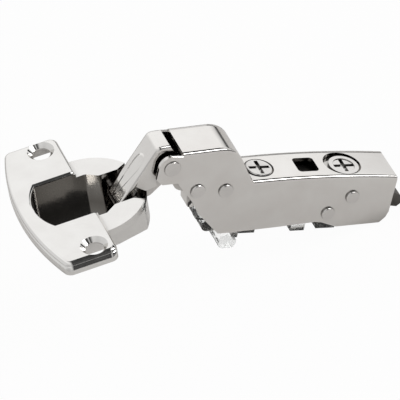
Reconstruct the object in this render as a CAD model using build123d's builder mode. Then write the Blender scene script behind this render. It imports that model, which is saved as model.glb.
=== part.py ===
from build123d import *
from math import acos, atan2, cos, hypot, radians, sin, sqrt, tan
import os

os.makedirs("parts", exist_ok=True)

# A concealed cup hinge for a cabinet door, shown open at 110 degrees.
# The origin is the centre of the 35 mm cup on the top face of its screw flange.
# +X points from the cup to the arm, +Z points out of the door, the pins lie along Y.

# Opening
OPENING_ANGLE = 110.0
ARM_TILT = OPENING_ANGLE - 90.0

# Clearances
PRESS_GAP = 0.02
RUNNING_GAP = 0.05
FACE_GAP = 0.3

# Cup: flange, rim and pot
CUP_RADIUS = 17.5
FLANGE_WIDTH = 57.3
FLANGE_REACH = 21.2
FLANGE_FRONT_RADIUS = 82.0
FLANGE_CORNER_RADIUS = 2.5
FLANGE_THICKNESS = 1.8
SKIRT_DEPTH = 4.25
SKIRT_THICKNESS = 1.6
SKIRT_EDGE_RADIUS = 1.4
SCREW_SPACING = 48.0
SCREW_SETBACK = 6.0
SCREW_HOLE_RADIUS = 2.8
COUNTERSINK_RADIUS = 4.1
COUNTERSINK_ANGLE = 90.0
RIM_DROP = 2.1
RIM_THICKNESS = 2.4
CUP_DEPTH = 13.5
CUP_FLOOR = 0.8
POT_SIDE_WIDE = 12.5
POT_SIDE_NARROW = 9.4
POT_TAPER_START = 4.0
POT_BOTTOM_RADIUS = 1.2
POT_SKIN = 0.2
END_WALL = 1.2
POCKET_HALF_WIDTH = 9.8
POCKET_WIDE_END = 2.8
POCKET_MOUTH_ROUND = 0.8
CHANNEL_HALF_WIDTH = 7.3
CHANNEL_START = 6.2
CHANNEL_FLARE_START = 12.0
SILL_HALF_WIDTH = 9.8
SILL_DROP = 4.2
LINK_SLOT_DEPTH = 8.0

# Linkage pins, in the frame of the cup (x, z)
OUTER_CUP_PIVOT = (9.5, -7.2)
INNER_CUP_PIVOT = (13.4, -4.7)
NOSE_PIVOT = (25.1, 3.55)
CUP_PIN_RADIUS = 1.25
CUP_PIN_HALF_LENGTH = 9.0
PIN_CHAMFER = 0.2
ARM_PIN_RADIUS = 1.5

# Pins in the frame of the arm (x along the arm, z off the cabinet side), from the nose pin
INNER_ARM_PIVOT = (9.9, -8.4)
SPRING_PIVOT = (19.0, -8.65)
HOOK_PIVOT = (54.75, -18.61)
LEVER_PIVOT = (61.5, -12.87)
NOSE_HEAD_RADIUS = 2.45
FRONT_HEAD_RADIUS = 2.2
REAR_HEAD_RADIUS = 2.05
HEAD_HEIGHT = 0.35

# Arm: a deep channel folded from one sheet
ARM_WIDTH = 14.4
ARM_SHEET = 1.2
ARM_BEND_RADIUS = 0.9
ARM_LENGTH = 75.2
CREST_FRONT = (2.8, 4.7)
CREST_CORNER = (19.5, 6.35)
CREST_ROUND = 8.0
CRANK_FOOT = (27.5, -6.4)
CRANK_FOOT_ROUND = 0.8
BOW_RISE = 1.6
BOW_SHARE = 0.85
BACK_END_HEIGHT = -6.5
NOSE_RADIUS = 4.2
NOSE_TOP = 4.1
NOSE_FRONT_DEPTH = -3.95
NOSE_CHIN = (-1.94, -5.8)
THROAT = (2.78, -5.41)
SLANT_MIDDLE = (9.58, -12.99)
SLANT_LOWER = (11.92, -16.85)
FRONT_FOOT = (19.96, -24.43)
LOWER_EDGE = [(24.0, -24.2), (40.0, -22.85), (50.9, -21.75)]
NOTCH_FRONT = (53.1, -21.85)
NOTCH_BACK = (58.5, -23.8)
REAR_FOOT = (72.9, -22.95)
REAR_CHAMFER = (74.55, -21.05)
REAR_CORNER_HEIGHT = -19.05
EDGE_ROUND = 0.8

# Outer link: a small channel with a hood, in the frame of the cup
LINK_PLAY = 1.1
OUTER_LINK_WIDTH = ARM_WIDTH - 2 * (ARM_SHEET + LINK_PLAY)
OUTER_LINK_SHEET = 1.2
BARREL_RADIUS = 2.2
WEB_FOOT = (7.85, -5.68)
WEB_TOP = (22.4, 10.5)
HOOD_END = (26.3, 9.6)
LINK_EYE_RADIUS = 3.5
CHEEK_FOOT = (16.6, -3.15)
CHEEK_BACK = (20.1, -2.85)
CHEEK_RISE = (20.15, -0.95)
CHEEK_WAIST = (14.65, -1.35)
LINK_BEND_RADIUS = 1.0
LINK_CHEEK = 1.3
HOOD_ROUND = 2.5

# Inner link: a solid gooseneck, in the frame of the cup
INNER_LINK_WIDTH = 5.0
INNER_EYE_RADIUS = 1.95
INNER_NECK = (17.6, -5.5)
INNER_RISE = (21.6, -2.9)
INNER_CREST = (26.0, -3.0)
INNER_BODY_WIDTH = 3.8
PIN_WINDOW_RADIUS = 2.25
PIN_WINDOW_SHIFT = (-2.25, 1.5)
WINDOW_WALL = 1.35
LOBE_LENGTH = 7.9
LOBE_ANGLE = -80.0
LOBE_RADIUS = 1.5

# Closing spring: two coils on the spring pin, joined by a bar over the inner link
SPRING_WIRE = 0.75
SPRING_COIL_RADIUS = 3.5
SPRING_PITCH = 0.8
SPRING_FULL_TURNS = 2
SPRING_SIDE = OUTER_LINK_WIDTH / 2 - 3 * SPRING_WIRE
SPRING_BAR = (5.9, -2.9)
SPRING_LEG_FOOT = (27.0, -13.5)

# Damper
HOUSING_PLAY = 0.6
HOUSING_WIDTH = ARM_WIDTH - 2 * (ARM_SHEET + HOUSING_PLAY)
HOUSING_CHEEK = 1.5
CHEEK_TOP = -16.55
CHEEK_END = 25.7
UPPER_BUMP = (13.6, -18.45)
UPPER_BUMP_RADIUS = 1.9
LOWER_BUMP = (17.0, -22.55)
LOWER_BUMP_RADIUS = 2.1
BEAM_SETBACK = 0.8
BEAM_WIDTH = HOUSING_WIDTH - 2 * BEAM_SETBACK
BEAM_TOP = -20.9
BEAM_FLOOR = -23.75
BEAM_STEP = 52.0
BEAM_END = 59.7
BEAM_END_TOP = -21.55
BELLY_END = 33.3
BELLY_FLOOR = -26.55
WEDGE_START = 53.5
WEDGE_FLOOR = -26.05
TAB_START = 45.1
TAB_LENGTH = 4.6
FOOT_START = 22.4
FOOT_LENGTH = 5.6
FOOT_FLOOR = -31.85
FOOT_ROUND = 1.6
FOOT_SLOT_HEIGHT = -28.45
FOOT_SLOT = 0.9
FOOT_SLOT_DEPTH = 1.6
HOOK_EYE_RADIUS = 2.6
HOOK_EYE_HALF_WIDTH = 3.0
CYLINDER_HEIGHT = -17.2
CYLINDER_START = 24.0
CYLINDER_LENGTH = 22.0
CYLINDER_RADIUS = 3.4
CYLINDER_HEAD = 2.0
BORE_RADIUS = 2.4
PLUNGER_FRONT = 17.1
PLUNGER_HEAD = 1.5
PLUNGER_HEAD_HEIGHT = 5.2
PLUNGER_HEAD_WIDTH = 4.6
ROD_RADIUS = 0.9
PISTON_START = 31.0
PISTON_LENGTH = 2.4
SEAL_SECTION = 0.35
DAMPER_SPRING_WIRE = 0.5
DAMPER_SPRING_RADIUS = 1.8
DAMPER_SPRING_PITCH = 2.0
DAMPER_SPRING_TURNS = 3.5
CAP_LENGTH = 2.0
CAP_RIM = 0.8

# Adjusting screws, placed along the arm
SIDE_SCREW_PLACE = 32.0
SIDE_SEAT_FLOOR = -6.95
SIDE_SEAT_RADIUS = 4.6
SIDE_SCREW_HEAD_RADIUS = 4.2
SIDE_SCREW_HEAD_HEIGHT = 1.1
SIDE_SCREW_SHANK_RADIUS = 2.9
SIDE_SCREW_NECK_RADIUS = 1.7
SIDE_SCREW_END_RADIUS = 2.6
SIDE_SCREW_END_HEIGHT = 1.2
DEPTH_SCREW_PLACE = 60.0
DEPTH_SEAT_CENTRE = 59.3
DEPTH_SEAT_FLOOR = -7.0
DEPTH_SEAT_RADIUS = 5.6
DEPTH_SEAT_LENGTH = 0.8
DEPTH_SCREW_HEAD_RADIUS = 4.7
DEPTH_SCREW_HEAD_HEIGHT = 0.75
DEPTH_SCREW_DISH_RADIUS = 3.4
DEPTH_SCREW_DISH = 0.25
DEPTH_SCREW_SHANK_RADIUS = 3.6
CAM_PIN_RADIUS = 1.0
CAM_PIN_OFFSET = 1.6
CAM_TURN = 60.0
CAM_SLOT_GAP = 0.2
CAM_PIN_REACH = 0.3
CROSS_SLOT_WIDTH = 1.25
CROSS_SLOT_LENGTH = 6.6
CROSS_SLOT_DEPTH = 0.8
WINDOW_CENTRE = 47.2
WINDOW_LENGTH = 6.8
WINDOW_WIDTH = 7.0
WINDOW_CORNER = 1.2

# Rail that clips to the mounting plate, inside the arm
RAIL_PLAY = 0.6
RAIL_WIDTH = ARM_WIDTH - 2 * (ARM_SHEET + RAIL_PLAY)
RAIL_SHEET = 1.2
RAIL_TOP = -8.6
RAIL_START = 27.5
RAIL_END = 72.5
RAIL_STEP = 50.0
RAIL_FRONT_FLOOR = -12.0
RAIL_REAR_FLOOR = -19.85
RAIL_TRAVEL = 1.4

# Release lever at the rear
LEVER_PLAY = 0.8
LEVER_WIDTH = RAIL_WIDTH - 2 * (RAIL_SHEET + LEVER_PLAY)
LEVER_HUB_RADIUS = 2.45
LEVER_TOP = [(63.5, -11.0), (76.0, -14.4), (79.6, -15.6)]
LEVER_TIP = (81.7, -18.0)
LEVER_UNDERSIDE = [(79.6, -20.0), (74.0, -19.2), (64.5, -16.4), (61.0, -17.6)]
LEVER_HOOK = [(60.0, -20.05), (58.0, -20.05), (57.9, -16.95), (58.9, -13.95)]
LEVER_RECESS = 1.2
LEVER_RECESS_RADIUS = 3.3
LEVER_SPRING_WIRE = 0.5
LEVER_SPRING_RADIUS = 2.05
LEVER_SPRING_PITCH = 0.65
LEVER_SPRING_FULL_TURNS = 1
LEVER_SPRING_UPPER_FOOT = (54.0, -11.6)
LEVER_SPRING_LOWER_FOOT = (54.5, -15.2)

TILT = radians(ARM_TILT)
ARM_X = Vector(cos(TILT), 0, -sin(TILT))
ARM_Z = Vector(sin(TILT), 0, cos(TILT))
NOSE_ORIGIN = Vector(NOSE_PIVOT[0], 0, NOSE_PIVOT[1])
CUP_SIDE = Plane(origin=(0, 0, 0), x_dir=(1, 0, 0), z_dir=(0, -1, 0))
ARM_SIDE = Plane(origin=NOSE_ORIGIN, x_dir=ARM_X, z_dir=(0, -1, 0))


def arm_point(x, z, y=0.0):
    """The place of a point given along and off the arm."""
    return NOSE_ORIGIN + ARM_X * x + ARM_Z * z + Vector(0, y, 0)


def arm_plan(x, z, y=0.0):
    """A plane that lies flat on the arm, its x along the arm."""
    return Plane(origin=arm_point(x, z, y), x_dir=ARM_X, z_dir=ARM_Z)


def arm_section(x, z, y=0.0):
    """A plane across the arm, its normal along the arm."""
    return Plane(origin=arm_point(x, z, y), x_dir=(0, 1, 0), z_dir=ARM_X)


def cup_place(x, z):
    """A point of the arm as (x, z) in the frame of the cup."""
    point = arm_point(x, z)
    return (point.X, point.Z)


def on_arm(point):
    """A point of the model as (x, z) in the frame of the arm."""
    reach = point - NOSE_ORIGIN
    return (reach.dot(ARM_X), reach.dot(ARM_Z))


def touch_angle(pivot, target, radius, side):
    """Angle on a coil at which a straight leg leaves for its target."""
    reach_x = target[0] - pivot[0]
    reach_z = target[1] - pivot[1]
    turn = acos(radius / hypot(reach_x, reach_z))
    return atan2(reach_z, reach_x) + side * turn


def coil_edge(plane, pitch, reach, radius, left):
    """A helix round the normal of a plane, starting on the plane's x."""
    return Edge.make_helix(pitch, reach, radius, lefthand=left).moved(plane.location)


def bent_wire(path, radius):
    """A round wire along a path of edges."""
    with BuildPart() as wire:
        with BuildSketch(Plane(origin=path[0] @ 0, z_dir=path[0] % 0)):
            Circle(radius)
        sweep(path=Wire(path))
    return wire.part


def wire_run(start, end, radius):
    """A straight run of wire with rounded ends."""
    run = end - start
    with Locations(Plane(origin=start, z_dir=run)):
        Cylinder(radius, run.length, align=(Align.CENTER, Align.CENTER, Align.MIN))
    with Locations(Location(start), Location(end)):
        Sphere(radius)


def riveted_pin(pivot, head_radius):
    """A pin across the arm, headed on both outer faces."""
    with BuildPart() as pin:
        with BuildSketch(ARM_SIDE):
            with Locations(pivot):
                Circle(ARM_PIN_RADIUS)
        extrude(amount=ARM_WIDTH / 2 + PRESS_GAP, both=True)
        for side in (1, -1):
            with BuildSketch(ARM_SIDE.offset(side * (ARM_WIDTH / 2 + PRESS_GAP))):
                with Locations(pivot):
                    Circle(head_radius)
            extrude(amount=side * HEAD_HEIGHT)
        chamfer(pin.faces().sort_by(Axis.Y)[0].edges(), HEAD_HEIGHT / 2)
        chamfer(pin.faces().sort_by(Axis.Y)[-1].edges(), HEAD_HEIGHT / 2)
    return pin


def cup_pin(pivot):
    """A plain pin across the cup."""
    with BuildPart() as pin:
        with BuildSketch(CUP_SIDE):
            with Locations(pivot):
                Circle(CUP_PIN_RADIUS)
        extrude(amount=CUP_PIN_HALF_LENGTH, both=True)
        chamfer(pin.edges().filter_by(GeomType.CIRCLE), PIN_CHAMFER)
    return pin


# Cup with its screw flange
def flange_outline(inset, right_edge):
    half = FLANGE_WIDTH / 2 - inset
    radius = FLANGE_FRONT_RADIUS - inset
    reach = FLANGE_REACH - inset
    corner = radius - reach - sqrt(radius ** 2 - half ** 2)
    with BuildLine() as outline:
        Polyline((corner, -half), (right_edge, -half), (right_edge, half), (corner, half))
        ThreePointArc((corner, half), (-reach, 0), (corner, -half))
    return outline.line


with BuildPart() as hinge_cup:
    with BuildSketch(Plane.XY) as flange:
        add(flange_outline(0, 0))
        make_face()
        fillet(flange.vertices(), FLANGE_CORNER_RADIUS)
    extrude(amount=-SKIRT_DEPTH)
    rounded = hinge_cup.faces().sort_by(Axis.Z)[-1].edges().sort_by(Axis.X)[:-1]
    fillet(rounded, SKIRT_EDGE_RADIUS)
    with BuildSketch(Plane.XY.offset(-FLANGE_THICKNESS)):
        add(flange_outline(SKIRT_THICKNESS, FLANGE_CORNER_RADIUS))
        make_face()
    extrude(amount=-SKIRT_DEPTH, mode=Mode.SUBTRACT)
    with BuildSketch(Plane.XY.offset(-FLANGE_THICKNESS / 2)):
        Circle(CUP_RADIUS)
        with Locations((CUP_RADIUS, 0)):
            Rectangle(2 * CUP_RADIUS, 2 * CUP_RADIUS, mode=Mode.SUBTRACT)
    extrude(amount=-SKIRT_DEPTH + FLANGE_THICKNESS / 2)
    with BuildSketch(Plane.XY.offset(-RIM_DROP)):
        Circle(CUP_RADIUS)
    extrude(amount=-RIM_THICKNESS)
    with BuildSketch(Plane.XY.offset(-RIM_DROP)) as pot_plan:
        with BuildLine():
            Polyline(
                (-CUP_RADIUS, -POT_SIDE_WIDE),
                (POT_TAPER_START, -POT_SIDE_WIDE),
                (CUP_RADIUS, -POT_SIDE_NARROW),
                (CUP_RADIUS, POT_SIDE_NARROW),
                (POT_TAPER_START, POT_SIDE_WIDE),
                (-CUP_RADIUS, POT_SIDE_WIDE),
                close=True,
            )
        make_face()
        Circle(CUP_RADIUS - POT_SKIN, mode=Mode.INTERSECT)
    extrude(amount=-(CUP_DEPTH - RIM_DROP))
    fillet(hinge_cup.faces().sort_by(Axis.Z)[0].edges(), POT_BOTTOM_RADIUS)
    with BuildSketch(Plane.XY) as pocket_plan:
        with BuildLine():
            Polyline(
                (-CUP_RADIUS, -POCKET_HALF_WIDTH),
                (POCKET_WIDE_END, -POCKET_HALF_WIDTH),
                (CHANNEL_START, -CHANNEL_HALF_WIDTH),
                (CUP_RADIUS, -CHANNEL_HALF_WIDTH),
                (CUP_RADIUS, CHANNEL_HALF_WIDTH),
                (CHANNEL_START, CHANNEL_HALF_WIDTH),
                (POCKET_WIDE_END, POCKET_HALF_WIDTH),
                (-CUP_RADIUS, POCKET_HALF_WIDTH),
                close=True,
            )
        make_face()
        Circle(CUP_RADIUS - END_WALL, mode=Mode.INTERSECT)
        fillet(pocket_plan.vertices().group_by(Axis.X)[1:-1], END_WALL)
    extrude(amount=-(CUP_DEPTH - CUP_FLOOR), mode=Mode.SUBTRACT)
    mouth = hinge_cup.edges().group_by(Axis.Z)[-1].filter_by(
        lambda edge: abs(edge.center().Y) < POCKET_HALF_WIDTH + PRESS_GAP and edge.center().X > -CUP_RADIUS
    )
    fillet(mouth, POCKET_MOUTH_ROUND)
    with BuildSketch(Plane.XY.offset(-SILL_DROP)):
        with BuildLine():
            Polyline(
                (CHANNEL_FLARE_START, -CHANNEL_HALF_WIDTH),
                (CUP_RADIUS, -SILL_HALF_WIDTH - END_WALL),
                (CUP_RADIUS + END_WALL, SILL_HALF_WIDTH + END_WALL),
                (CHANNEL_FLARE_START, CHANNEL_HALF_WIDTH),
                close=True,
            )
        make_face()
    extrude(amount=SILL_DROP, mode=Mode.SUBTRACT)
    with BuildSketch(Plane.XY.offset(-LINK_SLOT_DEPTH)):
        with Locations((CUP_RADIUS, 0)):
            Rectangle(4 * END_WALL, INNER_LINK_WIDTH + 2 * FACE_GAP)
    extrude(amount=LINK_SLOT_DEPTH, mode=Mode.SUBTRACT)
    with Locations(Plane.XY):
        with GridLocations(0, SCREW_SPACING, 1, 2):
            with Locations((-SCREW_SETBACK, 0)):
                CounterSinkHole(SCREW_HOLE_RADIUS, COUNTERSINK_RADIUS, FLANGE_THICKNESS, COUNTERSINK_ANGLE)
    for pivot in (OUTER_CUP_PIVOT, INNER_CUP_PIVOT):
        with BuildSketch(CUP_SIDE.offset(CUP_PIN_HALF_LENGTH + RUNNING_GAP)):
            with Locations(pivot):
                Circle(CUP_PIN_RADIUS + PRESS_GAP)
        extrude(amount=-2 * CUP_RADIUS, mode=Mode.SUBTRACT)

hinge_cup.part.label = "hinge_cup"
export_step(hinge_cup.part, "parts/hinge_cup.step")


outer_link_cup_pin = cup_pin(OUTER_CUP_PIVOT)
outer_link_cup_pin.part.label = "outer_link_cup_pin"
export_step(outer_link_cup_pin.part, "parts/outer_link_cup_pin.step")

inner_link_cup_pin = cup_pin(INNER_CUP_PIVOT)
inner_link_cup_pin.part.label = "inner_link_cup_pin"
export_step(inner_link_cup_pin.part, "parts/inner_link_cup_pin.step")


# Outer link, a channel with a rolled barrel on the cup pin and a hood over the nose
WEB_ANGLE = atan2(WEB_TOP[1] - WEB_FOOT[1], WEB_TOP[0] - WEB_FOOT[0])
HOOD_ANGLE = atan2(HOOD_END[1] - WEB_TOP[1], HOOD_END[0] - WEB_TOP[0])
WEB_IN = (sin(WEB_ANGLE) * OUTER_LINK_SHEET, -cos(WEB_ANGLE) * OUTER_LINK_SHEET)
BEND_IN = tan((WEB_ANGLE - HOOD_ANGLE) / 2) * OUTER_LINK_SHEET
HOOD_CORNER = (
    WEB_TOP[0] + WEB_IN[0] - BEND_IN * cos(WEB_ANGLE),
    WEB_TOP[1] + WEB_IN[1] - BEND_IN * sin(WEB_ANGLE),
)

with BuildPart() as outer_link:
    with BuildSketch(CUP_SIDE) as link_side:
        with BuildLine():
            Polyline(
                OUTER_CUP_PIVOT,
                WEB_FOOT,
                WEB_TOP,
                HOOD_END,
                (NOSE_PIVOT[0] + LINK_EYE_RADIUS, NOSE_PIVOT[1]),
                (NOSE_PIVOT[0], NOSE_PIVOT[1] - LINK_EYE_RADIUS),
                CHEEK_RISE,
                CHEEK_BACK,
                CHEEK_FOOT,
                CHEEK_WAIST,
                close=True,
            )
        make_face()
        fillet(link_side.vertices().sort_by(Axis.Y)[-1], HOOD_ROUND)
        with Locations(NOSE_PIVOT):
            Circle(LINK_EYE_RADIUS)
    extrude(amount=OUTER_LINK_WIDTH / 2, both=True)
    for side in (1, -1):
        face = outer_link.faces().sort_by(Axis.Y)[0 if side < 0 else -1]
        web_edges = face.edges().filter_by(
            lambda edge: edge.center().Z - WEB_FOOT[1] > edge.center().X - WEB_FOOT[0]
        )
        fillet(web_edges, LINK_BEND_RADIUS)
    with BuildSketch(CUP_SIDE):
        with BuildLine():
            Polyline(
                (WEB_FOOT[0] + WEB_IN[0], WEB_FOOT[1] + WEB_IN[1]),
                HOOD_CORNER,
                (HOOD_CORNER[0] + CUP_RADIUS, HOOD_CORNER[1] + CUP_RADIUS * tan(HOOD_ANGLE)),
                (HOOD_CORNER[0] + CUP_RADIUS, -CUP_RADIUS),
                (WEB_FOOT[0] + WEB_IN[0], -CUP_RADIUS),
                close=True,
            )
        make_face()
    extrude(amount=OUTER_LINK_WIDTH / 2 - LINK_CHEEK, both=True, mode=Mode.SUBTRACT)
    with BuildSketch(CUP_SIDE):
        with Locations(OUTER_CUP_PIVOT):
            Circle(BARREL_RADIUS)
    extrude(amount=OUTER_LINK_WIDTH / 2, both=True)
    with BuildSketch(CUP_SIDE):
        with Locations(OUTER_CUP_PIVOT):
            Circle(CUP_PIN_RADIUS + RUNNING_GAP)
        with Locations(NOSE_PIVOT):
            Circle(ARM_PIN_RADIUS + RUNNING_GAP)
    extrude(amount=OUTER_LINK_WIDTH, both=True, mode=Mode.SUBTRACT)

outer_link.part.label = "outer_link"
export_step(outer_link.part, "parts/outer_link.step")


# Inner link, a solid gooseneck with a lobe that works the damper
ARM_END = cup_place(*INNER_ARM_PIVOT)
LOBE_TIP = cup_place(
    INNER_ARM_PIVOT[0] + LOBE_LENGTH * cos(radians(LOBE_ANGLE)),
    INNER_ARM_PIVOT[1] + LOBE_LENGTH * sin(radians(LOBE_ANGLE)),
)
WINDOW_FAR = (ARM_END[0] + PIN_WINDOW_SHIFT[0], ARM_END[1] + PIN_WINDOW_SHIFT[1])
NECK_PATH = [INNER_CUP_PIVOT, INNER_NECK, INNER_RISE, INNER_CREST, ARM_END]


def slot_between(start, end, radius):
    """A slot with its arc centres on two points."""
    middle = ((start[0] + end[0]) / 2, (start[1] + end[1]) / 2)
    SlotCenterPoint(middle, end, 2 * radius)


with BuildPart() as inner_link:
    with BuildSketch(CUP_SIDE):
        for start, end in zip(NECK_PATH, NECK_PATH[1:]):
            slot_between(start, end, INNER_BODY_WIDTH / 2)
        slot_between(ARM_END, LOBE_TIP, LOBE_RADIUS)
        slot_between(ARM_END, WINDOW_FAR, PIN_WINDOW_RADIUS + WINDOW_WALL)
        with Locations(INNER_CUP_PIVOT):
            Circle(INNER_EYE_RADIUS)
    extrude(amount=INNER_LINK_WIDTH / 2, both=True)
    with BuildSketch(CUP_SIDE):
        slot_between(ARM_END, WINDOW_FAR, PIN_WINDOW_RADIUS)
        with Locations(INNER_CUP_PIVOT):
            Circle(CUP_PIN_RADIUS + RUNNING_GAP)
    extrude(amount=INNER_LINK_WIDTH, both=True, mode=Mode.SUBTRACT)

inner_link.part.label = "inner_link"
export_step(inner_link.part, "parts/inner_link.step")


# Arm, folded from one sheet, with pressed seats for the two adjusting screws
CAVITY_HALF_WIDTH = ARM_WIDTH / 2 - ARM_SHEET
BOW_HALF = (ARM_LENGTH - CRANK_FOOT[0]) / 2
BOW_RADIUS = BOW_SHARE * BOW_HALF ** 2 / BOW_RISE
CREST_SLOPE = atan2(CREST_CORNER[1] - CREST_FRONT[1], CREST_CORNER[0] - CREST_FRONT[0])
CRANK_SLOPE = atan2(CRANK_FOOT[1] - CREST_CORNER[1], CRANK_FOOT[0] - CREST_CORNER[0])
BOW_SLOPE = atan2(BOW_RISE, BOW_HALF)


def inset_corner(corner, before, after, drop):
    """A corner of the back between two slopes, moved into the sheet."""
    reach = drop / cos((before - after) / 2)
    middle = (before + after) / 2
    return (corner[0] + reach * sin(middle), corner[1] - reach * cos(middle))


def back_line(drop):
    """The line of the arm's back, moved into the sheet."""
    with BuildLine() as line:
        FilletPolyline(
            (CREST_FRONT[0], CREST_FRONT[1] - drop),
            inset_corner(CREST_CORNER, CREST_SLOPE, CRANK_SLOPE, drop),
            inset_corner(CRANK_FOOT, CRANK_SLOPE, BOW_SLOPE, drop),
            (CRANK_FOOT[0] + BOW_HALF, CRANK_FOOT[1] + BOW_RISE - drop),
            (ARM_LENGTH, BACK_END_HEIGHT - drop),
            radius=(CREST_ROUND - drop, CRANK_FOOT_ROUND + drop, BOW_RADIUS - drop),
        )
    return line.line


with BuildPart() as hinge_arm:
    with BuildSketch(ARM_SIDE) as arm_outline:
        with BuildLine():
            add(back_line(0))
            Polyline(
                (ARM_LENGTH, BACK_END_HEIGHT),
                (ARM_LENGTH, REAR_CORNER_HEIGHT),
                REAR_CHAMFER,
                REAR_FOOT,
                NOTCH_BACK,
                NOTCH_FRONT,
                *reversed(LOWER_EDGE),
                FRONT_FOOT,
                SLANT_LOWER,
                SLANT_MIDDLE,
                THROAT,
                NOSE_CHIN,
                (-NOSE_RADIUS, NOSE_FRONT_DEPTH),
                (-NOSE_RADIUS, 0),
            )
            RadiusArc((-NOSE_RADIUS, 0), (-sqrt(NOSE_RADIUS ** 2 - NOSE_TOP ** 2), NOSE_TOP), NOSE_RADIUS)
            Polyline(
                (-sqrt(NOSE_RADIUS ** 2 - NOSE_TOP ** 2), NOSE_TOP),
                (CREST_FRONT[0], NOSE_TOP),
                CREST_FRONT,
            )
        make_face()
        lower_corners = arm_outline.vertices().filter_by(
            lambda corner: corner.Y < NOSE_FRONT_DEPTH + BACK_END_HEIGHT
        )
        fillet(lower_corners, EDGE_ROUND)
    extrude(amount=ARM_WIDTH / 2, both=True)
    for side in (0, -1):
        face = hinge_arm.faces().sort_by(Axis.Y)[side]
        back_edges = face.edges().filter_by(
            lambda edge: on_arm(edge.center())[0] > CREST_FRONT[0] + RUNNING_GAP
            and on_arm(edge.center())[1] > BACK_END_HEIGHT - EDGE_ROUND
        )
        fillet(back_edges, ARM_BEND_RADIUS)
    with BuildSketch(ARM_SIDE):
        with BuildLine():
            add(back_line(ARM_SHEET))
            Polyline(
                (ARM_LENGTH, BACK_END_HEIGHT - ARM_SHEET),
                (ARM_LENGTH, -ARM_LENGTH),
                (-ARM_LENGTH, -ARM_LENGTH),
                (-ARM_LENGTH, ARM_LENGTH),
                (CREST_FRONT[0], ARM_LENGTH),
                (CREST_FRONT[0], CREST_FRONT[1] - ARM_SHEET),
            )
        make_face()
    extrude(amount=CAVITY_HALF_WIDTH, both=True, mode=Mode.SUBTRACT)
    with BuildSketch(arm_plan(SIDE_SCREW_PLACE, SIDE_SEAT_FLOOR - ARM_SHEET)):
        Circle(CAVITY_HALF_WIDTH)
    extrude(amount=ARM_SHEET)
    with BuildSketch(arm_plan(DEPTH_SEAT_CENTRE, DEPTH_SEAT_FLOOR - ARM_SHEET)):
        Rectangle(DEPTH_SEAT_LENGTH + 2 * (DEPTH_SEAT_RADIUS + ARM_SHEET), 2 * CAVITY_HALF_WIDTH)
    extrude(amount=ARM_SHEET)
    with BuildSketch(arm_plan(SIDE_SCREW_PLACE, SIDE_SEAT_FLOOR)):
        Circle(SIDE_SEAT_RADIUS)
    extrude(amount=2 * ARM_SHEET, mode=Mode.SUBTRACT)
    with BuildSketch(arm_plan(DEPTH_SEAT_CENTRE, DEPTH_SEAT_FLOOR)):
        SlotCenterToCenter(DEPTH_SEAT_LENGTH, 2 * DEPTH_SEAT_RADIUS)
    extrude(amount=2 * ARM_SHEET, mode=Mode.SUBTRACT)
    with BuildSketch(arm_plan(0, RAIL_TOP)):
        with Locations((SIDE_SCREW_PLACE, 0)):
            Circle(SIDE_SCREW_SHANK_RADIUS + RUNNING_GAP)
        with Locations((DEPTH_SCREW_PLACE, 0)):
            Circle(DEPTH_SCREW_SHANK_RADIUS + RUNNING_GAP)
        with Locations((WINDOW_CENTRE, 0)):
            RectangleRounded(WINDOW_LENGTH, WINDOW_WIDTH, WINDOW_CORNER)
    extrude(amount=-RAIL_TOP, mode=Mode.SUBTRACT)
    with BuildSketch(ARM_SIDE):
        with Locations((0, 0), INNER_ARM_PIVOT, SPRING_PIVOT, HOOK_PIVOT, LEVER_PIVOT):
            Circle(ARM_PIN_RADIUS + PRESS_GAP)
    extrude(amount=ARM_WIDTH, both=True, mode=Mode.SUBTRACT)

hinge_arm.part.label = "hinge_arm"
export_step(hinge_arm.part, "parts/hinge_arm.step")


# Pins of the arm
nose_pin = riveted_pin((0, 0), NOSE_HEAD_RADIUS)
nose_pin.part.label = "nose_pin"
export_step(nose_pin.part, "parts/nose_pin.step")

inner_link_arm_pin = riveted_pin(INNER_ARM_PIVOT, FRONT_HEAD_RADIUS)
inner_link_arm_pin.part.label = "inner_link_arm_pin"
export_step(inner_link_arm_pin.part, "parts/inner_link_arm_pin.step")

spring_pin = riveted_pin(SPRING_PIVOT, FRONT_HEAD_RADIUS)
spring_pin.part.label = "spring_pin"
export_step(spring_pin.part, "parts/spring_pin.step")

hook_pin = riveted_pin(HOOK_PIVOT, REAR_HEAD_RADIUS)
hook_pin.part.label = "hook_pin"
export_step(hook_pin.part, "parts/hook_pin.step")

lever_pin = riveted_pin(LEVER_PIVOT, REAR_HEAD_RADIUS)
lever_pin.part.label = "lever_pin"
export_step(lever_pin.part, "parts/lever_pin.step")


# Closing spring, two coils on the spring pin joined by a bar over the inner link
FRONT_TOUCH = touch_angle(SPRING_PIVOT, SPRING_BAR, SPRING_COIL_RADIUS, -1)
REAR_TOUCH = touch_angle(SPRING_PIVOT, SPRING_LEG_FOOT, SPRING_COIL_RADIUS, 1)
SPRING_TURNS = SPRING_FULL_TURNS + (FRONT_TOUCH - REAR_TOUCH) / radians(360)
SPRING_START = SPRING_SIDE + SPRING_WIRE / 2
SPRING_REACH = SPRING_PITCH * SPRING_TURNS

with BuildPart() as closing_spring:
    coil_plane = Plane(
        origin=arm_point(*SPRING_PIVOT, SPRING_START),
        x_dir=ARM_X * cos(REAR_TOUCH) + ARM_Z * sin(REAR_TOUCH),
        z_dir=(0, 1, 0),
    )
    coil = coil_edge(coil_plane, SPRING_PITCH, SPRING_REACH, SPRING_COIL_RADIUS, True)
    bar_end = arm_point(*SPRING_BAR, SPRING_START + SPRING_REACH)
    rear_leg = Edge.make_line(arm_point(*SPRING_LEG_FOOT, SPRING_START), coil @ 0)
    front_leg = Edge.make_line(coil @ 1, bar_end)
    add(bent_wire([rear_leg, coil, front_leg], SPRING_WIRE / 2))
    wire_run(bar_end, arm_point(*SPRING_BAR), SPRING_WIRE / 2)
    mirror(about=Plane.XZ)

closing_spring.part.label = "closing_spring"
export_step(closing_spring.part, "parts/closing_spring.step")


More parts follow.
